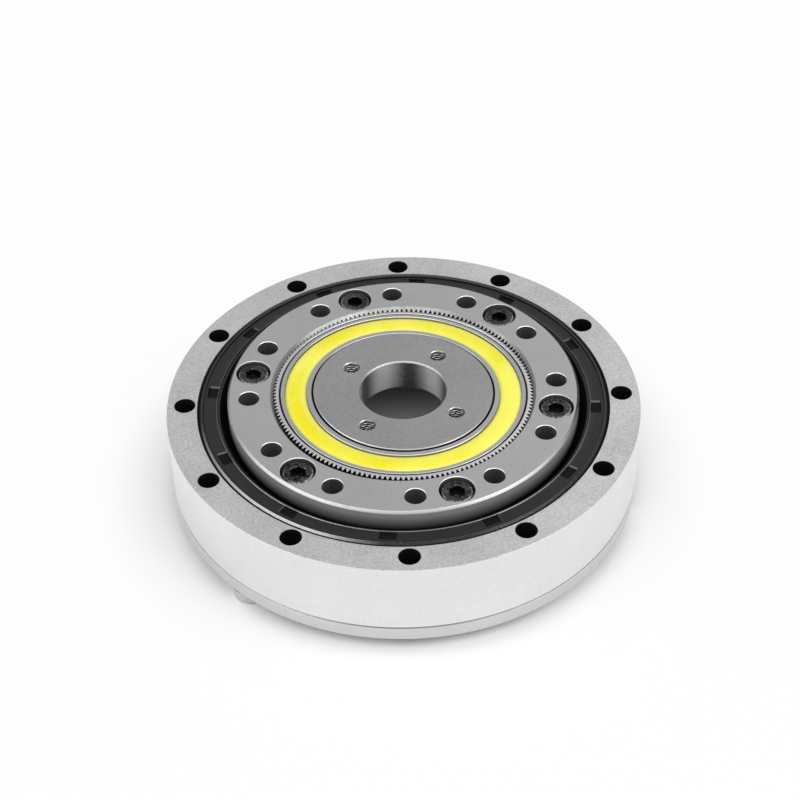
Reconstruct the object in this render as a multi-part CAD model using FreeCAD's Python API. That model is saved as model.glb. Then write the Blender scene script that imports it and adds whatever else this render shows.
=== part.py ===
import FreeCAD, Part
import math
import os

# Strain wave gear unit: hat-shaped flexspline, circular spline on a crossed-roller bearing, wave generator.
# Millimetres and degrees. +Z runs along the shared axis towards the input side. The origin is the centre of
# the outer ring's front face. Angles run anticlockwise, seen from the input side, from a housing bolt hole.

# Main size, and the flexspline's pitch circle as a share of it
housing_diameter = 80.0
pitch_share = 0.54

# Teeth: the circular spline has two more than the flexspline
flexspline_teeth = 160
tooth_difference = 2
tooth_addendum = 0.24
tooth_height = 0.74
tooth_tip_width = 0.16
tooth_root_width = 0.18
tooth_root_clearance = 0.06

# Walls inside and outside the output holes and outside the housing holes, as shares of the radial room
# that the holes and the seal leave between the tooth roots and the outside; the seal's seat has the rest
spline_inner_share = 0.36
spline_outer_share = 0.3287
housing_edge_share = 0.2163

# Circular spline
output_hole_diameter = 3.5
output_hole_count = 12
output_hole_phase = 2.8
spline_thickness = 7.0
spline_proud = 2.3
spline_chamfer = 0.4
tooth_end_bevel = 0.25
tooth_end_clearance = 0.05
spline_screw_count = 6
spline_screw_phase = 47.8

# Socket head screws and their holes
screw_diameter = 3.0
screw_hole_diameter = 3.1
screw_head_diameter = 5.5
screw_head_height = 3.0
screw_socket_width = 2.5
screw_socket_depth = 1.4
screw_head_clearance = 0.2
screw_head_sink = 0.35
screw_engagement = 6.4
thread_runout = 0.3
tap_drill_diameter = 2.5

# Flexspline: toothed rim, thin cup, diaphragm and bolting flange
rim_thickness = 0.25
rim_setback = 0.3
rim_overlap = 0.3
cup_wall = 0.35
cup_corner = 1.2
diaphragm_gap = 1.6
diaphragm_thickness = 0.6
boss_corner = 0.6
flange_thickness = 2.87
flange_chamfer = 0.4
flange_spotface = 0.25
flange_screw_count = 3
flange_screw_phase = 105.0

# Wave generator plug: bore, tapped holes and the oval of four arcs
bore_diameter = 14.5
bore_chamfer = 0.25
plug_inner_wall = 2.15
input_hole_count = 4
plug_thickness = 5.85
plug_setback = 0.1
wave_phase = 144.6
oval_arc_count = 4

# Flexible ball bearing between the plug and the toothed rim
inner_race_thickness = 1.1
outer_race_thickness = 0.93
race_spacing = 3.69
bearing_width = 6.0
bearing_setback = 0.3
groove_depth = 0.15
groove_floor = 1.0
groove_mouth = 2.0
ball_pitch_ratio = 1.24
ball_sides = 12
ball_bands = 6
cage_setback = 0.6
cage_depth = 3.3
cage_clearance = 0.12

# Outer ring and crossed-roller bearing
housing_hole_diameter = 3.5
housing_hole_count = 12
ring_width = 13.0
groove_wall = 0.88
race_gap = 0.7
roller_end_clearance = 0.1
roller_gap = 1.35
roller_sides = 12
spacer_clearance = 0.1
cup_clearance = 0.9
inner_ring_clearance = 0.4
filling_plug_margin = 0.6
filling_plug_angle = 75.0
plug_pin_diameter = 1.5
o_ring_wall = 0.6
o_ring_width = 1.2
o_ring_depth = 0.8
o_ring_clearance = 0.05

# Oil seal between the outer ring and the circular spline
seal_gap = 1.85
seal_width = 3.2
seal_seat_depth = 3.2
seal_seat_chamfer = 0.2
seal_proud = 0.25
seal_bevel = 0.45
seal_rim_width = 0.85
seal_step = 0.25
seal_skin = 0.5
seal_case_thickness = 0.6
seal_lip_depth = 2.8
seal_lip_contact = 0.3
seal_lip_thickness = 0.85
seal_lip_clearance = 0.05
seal_notch_count = 12
seal_notch_phase = 24.2
seal_notch_wall = 0.15
seal_notch_width = 2.9
seal_notch_length = 1.65
seal_notch_depth = 0.3
garter_thickness = 0.6
garter_sides = 6

# Fits: parts that stay together, and parts that run on each other
seat_fit = 0.01
running_fit = 0.02

# Teeth and the wave that the plug presses into the rim
tooth_module = housing_diameter * pitch_share / flexspline_teeth
spline_teeth = flexspline_teeth + tooth_difference
flexspline_pitch = tooth_module * flexspline_teeth / 2
spline_pitch = tooth_module * spline_teeth / 2
wave = spline_pitch - flexspline_pitch
flexspline_tip = flexspline_pitch + tooth_addendum
flexspline_root = flexspline_tip - tooth_height
spline_tip = spline_pitch - tooth_addendum
spline_root = flexspline_tip + wave + tooth_root_clearance
tip_share = tooth_tip_width / (math.pi * tooth_module)
root_share = tooth_root_width / (math.pi * tooth_module)
arc_half = 180.0 / oval_arc_count

# Radii of the wave generator and its bearing
bore_radius = bore_diameter / 2
tap_radius = tap_drill_diameter / 2
input_circle = bore_radius + plug_inner_wall + tap_radius
rim_inside = flexspline_root - rim_thickness
outer_race_outside = rim_inside - running_fit
outer_race_inside = outer_race_outside - outer_race_thickness
inner_race_outside = outer_race_inside - race_spacing
inner_race_inside = inner_race_outside - inner_race_thickness
plug_radius = inner_race_inside - seat_fit
ball_circle = (inner_race_outside + outer_race_inside) / 2
ball_radius = race_spacing / 2 + groove_depth - running_fit
ball_count = int(math.pi * ball_circle / (ball_radius * ball_pitch_ratio))

# Radii of the circular spline, the seal, the outer ring and the rollers
screw_radius = screw_diameter / 2
screw_hole_radius = screw_hole_diameter / 2
head_radius = screw_head_diameter / 2
housing_radius = housing_diameter / 2
output_hole_radius = output_hole_diameter / 2
housing_hole_radius = housing_hole_diameter / 2
hole_room = output_hole_diameter + housing_hole_diameter
wall_room = housing_radius - spline_root - hole_room - seal_gap - seal_width
output_circle = spline_root + spline_inner_share * wall_room + output_hole_radius
spline_radius = output_circle + output_hole_radius + spline_outer_share * wall_room
seal_inside = spline_radius + seal_gap
seal_outside = seal_inside + seal_width
housing_circle = housing_radius - housing_edge_share * wall_room - housing_hole_radius
roller_room_inside = output_circle + output_hole_radius
roller_room_outside = housing_circle - housing_hole_radius
roller_circle = (roller_room_inside + roller_room_outside) / 2
groove_reach = (roller_room_outside - roller_room_inside) / 2 - groove_wall
roller_radius = groove_reach / math.sqrt(2) - running_fit
roller_length = 2 * (roller_radius - roller_end_clearance)
roller_count = 2 * int(math.pi * roller_circle / (2 * roller_radius + roller_gap))
inner_ring_inside = flexspline_tip + cup_clearance
inner_ring_outside = roller_circle - race_gap / 2
ring_inside = roller_circle + race_gap / 2
cup_outside = flexspline_root
cup_inside = cup_outside - cup_wall

# Heights
spline_back = spline_proud - spline_thickness
head_seat = spline_proud - screw_head_sink - screw_head_height
rim_front = spline_proud - rim_setback
rim_back = spline_back - rim_overlap
plug_front = spline_proud - plug_setback
plug_back = plug_front - plug_thickness
bearing_front = spline_proud - bearing_setback
bearing_back = bearing_front - bearing_width
ball_height = (bearing_front + bearing_back) / 2
cage_front = spline_proud - cage_setback
ring_back = -ring_width
roller_height = (ring_back - seal_seat_depth) / 2
inner_ring_back = ring_back + inner_ring_clearance
diaphragm_front = ring_back - diaphragm_gap
diaphragm_back = diaphragm_front - diaphragm_thickness
cup_back = diaphragm_front + cup_corner
flange_back = ring_back - flange_thickness
tapped_depth = screw_engagement + thread_runout

Vector = FreeCAD.Vector
ORIGIN = Vector(0, 0, 0)
AXIS = Vector(0, 0, 1)
ACROSS = Vector(0, 1, 0)


def polar(radius, angle, height=0.0):
    """Point at a radius and an angle about the axis."""
    turn = math.radians(angle)
    return Vector(radius * math.cos(turn), radius * math.sin(turn), height)


def around(count, phase):
    """Angles of an even pattern."""
    return [phase + 360.0 * index / count for index in range(count)]


def polygon(points):
    """Flat face inside a closed row of points."""
    return Part.Face(Part.makePolygon(points + points[:1]))


def rod(radius, low, high, centre=ORIGIN):
    """Upright cylinder between two heights."""
    return Part.makeCylinder(radius, high - low, Vector(centre.x, centre.y, low))


def rods(radius, low, high, circle, angles):
    """The same cylinder at each angle of a bolt circle."""
    return [rod(radius, low, high, polar(circle, angle)) for angle in angles]


def prism(sides, radius, low, high):
    """Upright prism on a regular polygon with its corners at a radius."""
    corners = [polar(radius, angle, low) for angle in around(sides, 0)]
    return polygon(corners).extrude(AXIS * (high - low))


def turned(profile):
    """Ring turned from an outline of (radius, height) points."""
    outline = [Vector(radius, 0, height) for radius, height in profile]
    return polygon(outline).revolve(ORIGIN, AXIS, 360)


def placed(shape, radius, angle, height):
    """Shape made at the origin, moved out along X, raised, and turned about the axis."""
    moved = shape.copy()
    moved.translate(Vector(radius, 0, height))
    moved.rotate(ORIGIN, AXIS, angle)
    return moved


def oval_arcs(amount):
    """Centre, change of radius and middle angle of the four arcs of an oval.

    The arcs meet with common tangents halfway between the axes. The oval's radius is greater than its mean
    by the given amount at the major axis and smaller by as much at the minor axis.
    """
    shift = amount * (2 + math.sqrt(2))
    change = amount * (1 + math.sqrt(2))
    arcs = []
    for quarter in range(oval_arc_count):
        side = 1 - 2 * (quarter % 2)
        middle = wave_phase + 2 * arc_half * quarter
        arcs.append((polar(side * shift, middle), -side * change, middle))
    return arcs


def oval_wire(mean_radius, height, amount=wave):
    """Closed oval of four arcs at a height."""
    edges = []
    for centre, change, middle in oval_arcs(amount):
        turns = (middle - arc_half, middle, middle + arc_half)
        points = [centre + polar(mean_radius + change, turn, height) for turn in turns]
        edges.append(Part.Arc(*points).toShape())
    return Part.Wire(edges)


def oval_ring(profile):
    """Ring of constant section along the wave's oval, from (mean radius, height) points."""
    quarters = []
    for centre, change, middle in oval_arcs(wave):
        outline = [centre + polar(radius + change, middle - arc_half, height) for radius, height in profile]
        quarters.append(polygon(outline).revolve(centre, AXIS, 2 * arc_half))
    return quarters[0].fuse(quarters[1:]).removeSplitter()


def on_oval(mean_radius, share, offset=0.0):
    """Point at a share of the oval's length from its major axis, set outwards by an offset."""
    arcs = oval_arcs(wave)
    lengths = [math.pi / 2 * (mean_radius + change) for centre, change, middle in arcs]
    travel = (share % 1.0) * sum(lengths) + lengths[0] / 2
    quarter = 0
    while travel > lengths[quarter % oval_arc_count]:
        travel -= lengths[quarter % oval_arc_count]
        quarter += 1
    centre, change, middle = arcs[quarter % oval_arc_count]
    angle = middle + arc_half * (2 * travel / lengths[quarter % oval_arc_count] - 1)
    return centre + polar(mean_radius + change + offset, angle)


def tooth_outline(count, place, tip, root):
    """Closed toothed outline with two tip corners and two root corners in each pitch."""
    outline = []
    for tooth in range(count):
        gap = tooth + 0.5
        outline.append(place((tooth - tip_share / 2) / count, tip))
        outline.append(place((tooth + tip_share / 2) / count, tip))
        outline.append(place((gap - root_share / 2) / count, root))
        outline.append(place((gap + root_share / 2) / count, root))
    return Part.makePolygon(outline + outline[:1])


def raised(outer, inner, low, high):
    """Solid between two closed outlines at height zero, from a low to a high level."""
    face = Part.makeFace([outer, inner], "Part::FaceMakerBullseye")
    face.translate(Vector(0, 0, low))
    return face.extrude(AXIS * (high - low))


def socket_screw(length):
    """Socket head screw with its head standing on height zero."""
    head = rod(head_radius, 0, screw_head_height)
    socket_radius = screw_socket_width / math.sqrt(3)
    socket = prism(6, socket_radius, screw_head_height - screw_socket_depth, screw_head_height)
    shank = rod(screw_radius, -length, 0)
    return head.cut(socket).fuse(shank)


def make_outer_ring():
    """Bearing outer ring before its filling hole: seal seat, roller groove, bolt holes and O-ring groove."""
    groove_half = groove_reach - race_gap / 2
    profile = [
        (seal_outside + seal_seat_chamfer, 0),
        (housing_radius, 0),
        (housing_radius, ring_back),
        (ring_inside, ring_back),
        (ring_inside, roller_height - groove_half),
        (roller_circle + groove_reach, roller_height),
        (ring_inside, roller_height + groove_half),
        (ring_inside, -seal_seat_depth),
        (seal_outside, -seal_seat_depth),
        (seal_outside, -seal_seat_chamfer),
    ]
    o_ring_inside = ring_inside + o_ring_wall
    o_ring_outside = o_ring_inside + o_ring_width
    o_ring_groove = rod(o_ring_outside, ring_back, ring_back + o_ring_depth)
    o_ring_groove = o_ring_groove.cut(rod(o_ring_inside, ring_back, ring_back + o_ring_depth))
    bolts = around(housing_hole_count, 0)
    screws = around(flange_screw_count, flange_screw_phase)
    holes = rods(housing_hole_radius, ring_back, 0, housing_circle, bolts)
    taps = rods(screw_radius + seat_fit, ring_back, ring_back + tapped_depth, housing_circle, screws)
    return turned(profile).cut(holes + taps + [o_ring_groove])


def filling_rod(radius):
    """Cylinder across the ring wall where the rollers are filled in."""
    start = polar(roller_circle, filling_plug_angle, roller_height)
    direction = polar(1, filling_plug_angle)
    return Part.makeCylinder(radius, housing_radius, start, direction)


def make_pin(radius):
    """Upright pin through the filling plug, from the flange face to past the plug."""
    plug_top = roller_height + roller_radius + filling_plug_margin
    return rod(radius, ring_back, plug_top, polar(housing_circle, filling_plug_angle))


def make_o_ring():
    """Face seal squeezed into its groove against the flange."""
    inside = ring_inside + o_ring_wall + o_ring_clearance
    outside = inside + o_ring_width - 2 * o_ring_clearance
    ring = rod(outside, ring_back, ring_back + o_ring_depth)
    return ring.cut(rod(inside, ring_back, ring_back + o_ring_depth))


def make_inner_ring():
    """Bearing inner ring with the roller groove and the tapped holes under the circular spline."""
    groove_half = groove_reach - race_gap / 2
    profile = [
        (inner_ring_inside, spline_back),
        (inner_ring_outside, spline_back),
        (inner_ring_outside, roller_height + groove_half),
        (roller_circle - groove_reach, roller_height),
        (inner_ring_outside, roller_height - groove_half),
        (inner_ring_outside, inner_ring_back),
        (inner_ring_inside, inner_ring_back),
    ]
    floor = spline_back - tapped_depth
    free = rods(tap_radius, floor, spline_back, output_circle, around(output_hole_count, output_hole_phase))
    screws = around(spline_screw_count, spline_screw_phase)
    used = rods(screw_radius + seat_fit, floor, spline_back, output_circle, screws)
    return turned(profile).cut(free + used)


def make_rollers(tilt, first):
    """Every second roller of the set, tilted one way across the groove."""
    half = roller_length / 2
    roller = prism(roller_sides, roller_radius, -half, half)
    roller.rotate(ORIGIN, ACROSS, tilt)
    angles = around(roller_count, 0)[first::2]
    return [placed(roller, roller_circle, angle, roller_height) for angle in angles]


def make_spacers():
    """Blocks between neighbouring rollers, as thick as the room at the rollers' inner ends."""
    tight_circle = roller_circle - roller_length / 2 / math.sqrt(2)
    thickness = 2 * math.pi * tight_circle / roller_count - 2 * (roller_radius + spacer_clearance)
    corner = Vector(-roller_length / 2, -thickness / 2, -roller_length / 2)
    block = Part.makeBox(roller_length, thickness, roller_length, corner)
    block.rotate(ORIGIN, ACROSS, 45)
    angles = around(roller_count, 180 / roller_count)
    return [placed(block, roller_circle, angle, roller_height) for angle in angles]


def seal_levels():
    """Height of the seal's band, and the inside radius, front and underside of its steel case."""
    band = seal_proud - seal_step
    case_front = band - seal_skin
    return band, seal_inside + seal_skin, case_front, case_front - seal_case_thickness


def make_oil_seal():
    """Rubber of the seal: bevelled rim in the seat, notched band, and a lip that runs on the spline."""
    band, case_inside, case_front, case_under = seal_levels()
    case_outside = seal_outside - seal_skin
    rim_radius = seal_outside - seat_fit
    lip = spline_radius + seal_lip_clearance
    lip_back = lip + seal_lip_thickness
    profile = [
        (rim_radius, -seal_seat_depth),
        (rim_radius, seal_proud - seal_bevel),
        (rim_radius - seal_bevel, seal_proud),
        (seal_outside - seal_rim_width, seal_proud),
        (seal_outside - seal_rim_width, band),
        (seal_inside, band),
        (seal_inside, case_front),
        (lip, seal_lip_contact - seal_lip_depth),
        (lip, -seal_lip_depth),
        (lip_back, -seal_lip_depth),
        (lip_back, garter_thickness - seal_lip_depth),
        (case_inside, case_under - seal_lip_contact),
        (case_inside, case_front),
        (case_outside, case_front),
        (case_outside, -seal_seat_depth),
    ]
    corner = Vector(-seal_notch_length / 2, -seal_notch_width / 2, -seal_notch_depth)
    notch = Part.makeBox(seal_notch_length, seal_notch_width, seal_notch_depth, corner)
    middle = seal_inside + seal_notch_wall + seal_notch_length / 2
    angles = around(seal_notch_count, seal_notch_phase)
    return turned(profile).cut([placed(notch, middle, angle, band) for angle in angles])


def make_seal_case():
    """Steel angle ring bonded inside the seal."""
    band, case_inside, case_front, case_under = seal_levels()
    case_outside = seal_outside - seal_skin
    leg_inside = case_outside - seal_case_thickness
    return turned([
        (case_inside, case_front),
        (case_outside, case_front),
        (case_outside, -seal_seat_depth),
        (leg_inside, -seal_seat_depth),
        (leg_inside, case_under),
        (case_inside, case_under),
    ])


def make_garter_spring():
    """Coil spring round the lip, as the ring that its coils fill."""
    garter_radius = garter_thickness / 2
    circle = spline_radius + seal_lip_clearance + seal_lip_thickness + garter_radius
    height = garter_radius - seal_lip_depth
    corners = [polar(garter_radius, angle) for angle in around(garter_sides, 180 / garter_sides)]
    return turned([(circle + corner.x, height + corner.y) for corner in corners])


def make_circular_spline():
    """Internal gear with an outer chamfer, bevelled tooth ends, through holes and sunk screw holes."""
    def place(share, radius):
        return polar(radius, wave_phase + 360 * (share + 0.5 / spline_teeth))

    rim = Part.Wire(Part.makeCircle(spline_radius))
    teeth = tooth_outline(spline_teeth, place, spline_tip, spline_root)
    blank = raised(rim, teeth, spline_back, spline_proud)
    edge = turned([
        (spline_radius - spline_chamfer, spline_proud),
        (spline_radius, spline_proud),
        (spline_radius, spline_proud - spline_chamfer),
    ])
    bevel_outside = spline_root + tooth_end_bevel
    bevel_inside = spline_tip - tooth_end_clearance
    tooth_ends = turned([
        (bevel_inside, spline_proud),
        (bevel_outside, spline_proud),
        (bevel_inside, spline_proud - bevel_outside + bevel_inside),
    ])
    holes = around(output_hole_count, output_hole_phase)
    screws = around(spline_screw_count, spline_screw_phase)
    through = rods(output_hole_radius, spline_back, spline_proud, output_circle, holes)
    through += rods(screw_hole_radius, spline_back, spline_proud, output_circle, screws)
    sinks = rods(head_radius + screw_head_clearance, head_seat, spline_proud, output_circle, screws)
    return blank.cut(through + sinks + [edge, tooth_ends])


def make_spline_screws():
    """Screws that hold the circular spline on the bearing's inner ring."""
    screw = socket_screw(head_seat - spline_back + screw_engagement)
    angles = around(spline_screw_count, spline_screw_phase)
    return [placed(screw, output_circle, angle, head_seat) for angle in angles]


def make_flexspline():
    """Hat in one piece: oval toothed rim, cup wall that turns round towards the back, and flange."""
    def place(share, radius):
        return on_oval(flexspline_pitch, share, radius - flexspline_pitch)

    teeth = tooth_outline(flexspline_teeth, place, flexspline_tip, flexspline_root)
    rim = raised(teeth, oval_wire(rim_inside, 0), rim_back, rim_front)
    outer_ends = [oval_wire(cup_outside, rim_back), oval_wire(cup_outside, cup_back, 0)]
    inner_ends = [oval_wire(rim_inside, rim_back), oval_wire(cup_inside, cup_back, 0)]
    wall = Part.makeLoft(outer_ends, True, True).cut(Part.makeLoft(inner_ends, True, True))
    boss_inside = inner_ring_outside
    base = turned([
        (cup_outside, cup_back),
        (cup_outside + cup_corner, diaphragm_front),
        (boss_inside - boss_corner, diaphragm_front),
        (boss_inside, diaphragm_front + boss_corner),
        (boss_inside, ring_back),
        (housing_radius - flange_chamfer, ring_back),
        (housing_radius, ring_back - flange_chamfer),
        (housing_radius, flange_back),
        (boss_inside, flange_back),
        (boss_inside - boss_corner, diaphragm_back),
        (cup_inside + cup_corner + cup_wall, diaphragm_back),
        (cup_inside, diaphragm_back + cup_corner + cup_wall),
        (cup_inside, cup_back),
    ])
    bolts = around(housing_hole_count, 0)
    screws = around(flange_screw_count, flange_screw_phase)
    holes = rods(housing_hole_radius, flange_back, ring_back, housing_circle, bolts)
    holes += rods(screw_hole_radius, flange_back, ring_back, housing_circle, screws)
    seat = flange_back + flange_spotface
    holes += rods(head_radius + screw_head_clearance, flange_back, seat, housing_circle, screws)
    return rim.fuse([wall, base.cut(holes)]).removeSplitter()


def make_flange_screws():
    """Screws that hold the flexspline's flange on the outer ring, heads to the back."""
    seat = flange_back + flange_spotface
    screw = socket_screw(ring_back - seat + screw_engagement)
    screw.rotate(ORIGIN, ACROSS, 180)
    angles = around(flange_screw_count, flange_screw_phase)
    return [placed(screw, housing_circle, angle, seat) for angle in angles]


def make_wave_plug():
    """Oval plug with a chamfered bore and tapped holes for the input."""
    blank = Part.Face(oval_wire(plug_radius, plug_back)).extrude(AXIS * plug_thickness)
    bore = turned([
        (0, plug_back),
        (bore_radius + bore_chamfer, plug_back),
        (bore_radius, plug_back + bore_chamfer),
        (bore_radius, plug_front - bore_chamfer),
        (bore_radius + bore_chamfer, plug_front),
        (0, plug_front),
    ])
    angles = around(input_hole_count, wave_phase)
    return blank.cut(rods(tap_radius, plug_back, plug_front, input_circle, angles) + [bore])


def make_race(plain, grooved):
    """Bearing race between a plain radius and the radius that carries the ball groove."""
    depth = math.copysign(groove_depth, plain - grooved)
    return oval_ring([
        (plain, bearing_back),
        (plain, bearing_front),
        (grooved, bearing_front),
        (grooved, ball_height + groove_mouth / 2),
        (grooved + depth, ball_height + groove_floor / 2),
        (grooved + depth, ball_height - groove_floor / 2),
        (grooved, ball_height - groove_mouth / 2),
        (grooved, bearing_back),
    ])


def make_ball():
    """Ball at the origin, in flat facets between even meridians and bands."""
    rings = []
    for band in range(1, ball_bands):
        tilt = math.pi * band / ball_bands
        radius = ball_radius * math.sin(tilt)
        rings.append([polar(radius, angle, ball_radius * math.cos(tilt)) for angle in around(ball_sides, 0)])
    faces = []
    for side in range(ball_sides):
        following = (side + 1) % ball_sides
        faces.append(polygon([AXIS * ball_radius, rings[0][side], rings[0][following]]))
        faces.append(polygon([AXIS * -ball_radius, rings[-1][following], rings[-1][side]]))
        for upper, lower in zip(rings, rings[1:]):
            faces.append(polygon([upper[side], lower[side], lower[following], upper[following]]))
    return Part.Solid(Part.Shell(faces))


def make_balls():
    """Balls on the oval between the races."""
    ball = make_ball()
    balls = []
    for index in range(ball_count):
        moved = ball.copy()
        moved.translate(on_oval(ball_circle, index / ball_count) + AXIS * ball_height)
        balls.append(moved)
    return balls


def make_cage():
    """Crown cage: a flat ring in front of the balls with fingers between them."""
    inside = inner_race_outside + cage_clearance
    outside = outer_race_inside - cage_clearance
    cage_back = cage_front - cage_depth
    corners = [(inside, cage_back), (outside, cage_back), (outside, cage_front), (inside, cage_front)]
    band = oval_ring(corners)
    pockets = []
    for index in range(ball_count):
        share = index / ball_count
        start = on_oval(ball_circle, share, -2 * ball_radius) + AXIS * ball_height
        direction = on_oval(ball_circle, share, 1) - on_oval(ball_circle, share)
        pockets.append(Part.makeCylinder(ball_radius + cage_clearance, 4 * ball_radius, start, direction))
    return band.cut(pockets)


def save(node, solids):
    """Write one node, a single solid or a group of equal ones."""
    shape = Part.makeCompound(solids) if isinstance(solids, list) else solids
    shape.exportStep(os.path.join("parts", node + ".step"))


os.makedirs("parts", exist_ok=True)

filling_radius = roller_radius + filling_plug_margin / 2
pin_radius = plug_pin_diameter / 2
ring = make_outer_ring()
save("outer_ring", ring.cut([filling_rod(filling_radius), make_pin(pin_radius)]))
save("filling_plug", ring.common(filling_rod(filling_radius - seat_fit)).cut(make_pin(pin_radius)))
save("plug_pin", make_pin(pin_radius - seat_fit))
save("flange_o_ring", make_o_ring())
save("oil_seal", make_oil_seal())
save("seal_case", make_seal_case())
save("garter_spring", make_garter_spring())
save("flexspline", make_flexspline())
save("flange_screws", make_flange_screws())

save("circular_spline", make_circular_spline())
save("inner_ring", make_inner_ring())
save("spline_screws", make_spline_screws())

save("rollers_tilted_out", make_rollers(45, 0))
save("rollers_tilted_in", make_rollers(-45, 1))
save("roller_spacers", make_spacers())

save("wave_plug", make_wave_plug())
save("bearing_inner_race", make_race(inner_race_inside, inner_race_outside))
save("bearing_outer_race", make_race(outer_race_outside, outer_race_inside))

save("bearing_balls", make_balls())
save("ball_cage", make_cage())
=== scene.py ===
import bpy
import bmesh
import math
import numpy as np
from mathutils import Matrix, Vector


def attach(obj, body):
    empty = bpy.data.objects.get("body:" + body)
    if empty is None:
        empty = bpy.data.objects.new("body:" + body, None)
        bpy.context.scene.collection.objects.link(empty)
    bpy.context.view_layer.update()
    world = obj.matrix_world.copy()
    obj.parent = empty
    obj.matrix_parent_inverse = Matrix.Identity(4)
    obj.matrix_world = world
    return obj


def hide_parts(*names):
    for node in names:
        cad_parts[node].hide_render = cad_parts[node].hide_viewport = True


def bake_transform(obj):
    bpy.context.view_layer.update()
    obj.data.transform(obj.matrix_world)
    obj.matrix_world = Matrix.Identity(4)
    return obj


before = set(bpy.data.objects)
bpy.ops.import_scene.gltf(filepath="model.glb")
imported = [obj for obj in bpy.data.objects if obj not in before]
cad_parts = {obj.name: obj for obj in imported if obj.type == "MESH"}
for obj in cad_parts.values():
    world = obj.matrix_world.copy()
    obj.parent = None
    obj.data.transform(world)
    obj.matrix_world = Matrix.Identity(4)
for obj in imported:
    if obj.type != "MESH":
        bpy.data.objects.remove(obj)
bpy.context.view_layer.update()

# Lengths are millimetres here and become metres when a mesh is made.
# Height 0 is the outer ring's front face.
MM = 0.001
TURN = 2 * math.pi

# The wave that the plug presses into the thin pieces round it, and the angle of its high side.
WAVE = 0.27
WAVE_PHASE = math.radians(144.6)

# Housing: outer ring, seal, and the flange behind them.
RING_RADIUS = 40.0
RING_LAND = 31.85
RING_BACK = -13.0
ROLLER_HEIGHT = -8.1
ROLLER_REACH = 2.52
SEAL_BACK = -3.2
FLANGE_INNER = 31.15
FLANGE_BACK = -15.87
FLANGE_SEAT = -15.62
HOUSING_CIRCLE = 37.0

# Radii of the plain holes, of the screws' holes and of the holes for their heads.
PLAIN_HOLE = 1.75
SCREW_HOLE = 1.55
HEAD_HOLE = 2.95
SEAT_STEP = 0.001

# Circular spline and flexspline.
SPLINE_FRONT = 2.3
SPLINE_BACK = -4.7
SPLINE_SEAT = -1.05
SPLINE_CIRCLE = 26.0
SPLINE_TURN = 2.8
SPLINE_TEETH = 162
BAND_RADIUS = 22.6
FLEX_TEETH = 160
RIM_FRONT = 2.0
RIM_BACK = -5.0
CUP_BACK = -13.4

# Wave generator: races, balls and plug.
RACE_BACK = -4.0
BALL_COUNT = 23
BALL_CIRCLE = 18.055
BALL_HEIGHT = -1.0
BALL_RADIUS = 1.975
PLUG_FRONT = 2.2
PLUG_BACK = -3.65
TAP_CIRCLE = 10.65

FLOOR_HEIGHT = -18.63


# Surfaces

def even(count, phase=0.0):
    """Angles of an even pattern in radians, from a phase in degrees."""
    return math.radians(phase) + TURN * np.arange(count) / count


def oval(angles):
    """How far the wave moves a radius at an angle: wave x cos 2(angle - phase)."""
    return WAVE * np.cos(2 * (angles - WAVE_PHASE))


def along_oval(share, radius):
    """Angle at a share of the oval's length.

    It is that share of a turn, less wave / (2 x radius) x the sine of twice that angle.
    """
    turn = TURN * share
    return WAVE_PHASE + turn - WAVE / (2 * radius) * np.sin(2 * turn)


def on_axis(radius, angles, height):
    """Points at radius x (cos angle, sin angle) and a height, all three spread over one grid."""
    radius, angles, height = np.broadcast_arrays(radius, angles, height)
    return np.stack([radius * np.cos(angles), radius * np.sin(angles), height], -1).astype(float)


def turned(profile, angles, wave=0.0):
    """Profile of (radius, height) rows carried round the axis, each radius plus a share of the oval wave."""
    profile = np.asarray(profile, float)
    return on_axis(profile[:, :1] + wave * oval(angles)[None], angles[None], profile[:, 1:])


def skin(grid, closed=False):
    """Quads between neighbouring rows of one grid or of a stack of them.

    Columns always close into rings. Rows close too if asked.
    """
    grids = grid.reshape(-1, *grid.shape[-3:])
    count, rows, cols = grids.shape[:3]
    low = np.arange(rows if closed else rows - 1)[:, None]
    high = (low + 1) % rows
    left = np.arange(cols)[None]
    right = (left + 1) % cols
    one = np.stack([low * cols + left, low * cols + right, high * cols + right, high * cols + left], -1)
    stack = one.reshape(1, -1, 4) + (np.arange(count) * rows * cols)[:, None, None]
    return grids.reshape(-1, 3), stack.reshape(-1, 4)


def softened(profile, amount, steps=3):
    """Profile with each inner corner cut back by an amount and rounded by a parabola.

    The parabola is (1 - t)^2 x start + 2t(1 - t) x corner + t^2 x end.
    """
    p = np.asarray(profile, float)
    corner = p[1:-1]

    def cut(neighbour):
        way = neighbour - corner
        length = np.linalg.norm(way, axis=1)[:, None]
        return corner + way / np.maximum(length, 1e-9) * np.minimum(amount, 0.45 * length)

    start, end = cut(p[:-2]), cut(p[2:])
    t = np.linspace(0, 1, steps)[None, :, None]
    arc = (1 - t) ** 2 * start[:, None] + 2 * t * (1 - t) * corner[:, None] + t ** 2 * end[:, None]
    return np.concatenate([p[:1], arc.reshape(-1, 2), p[-1:]])


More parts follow.
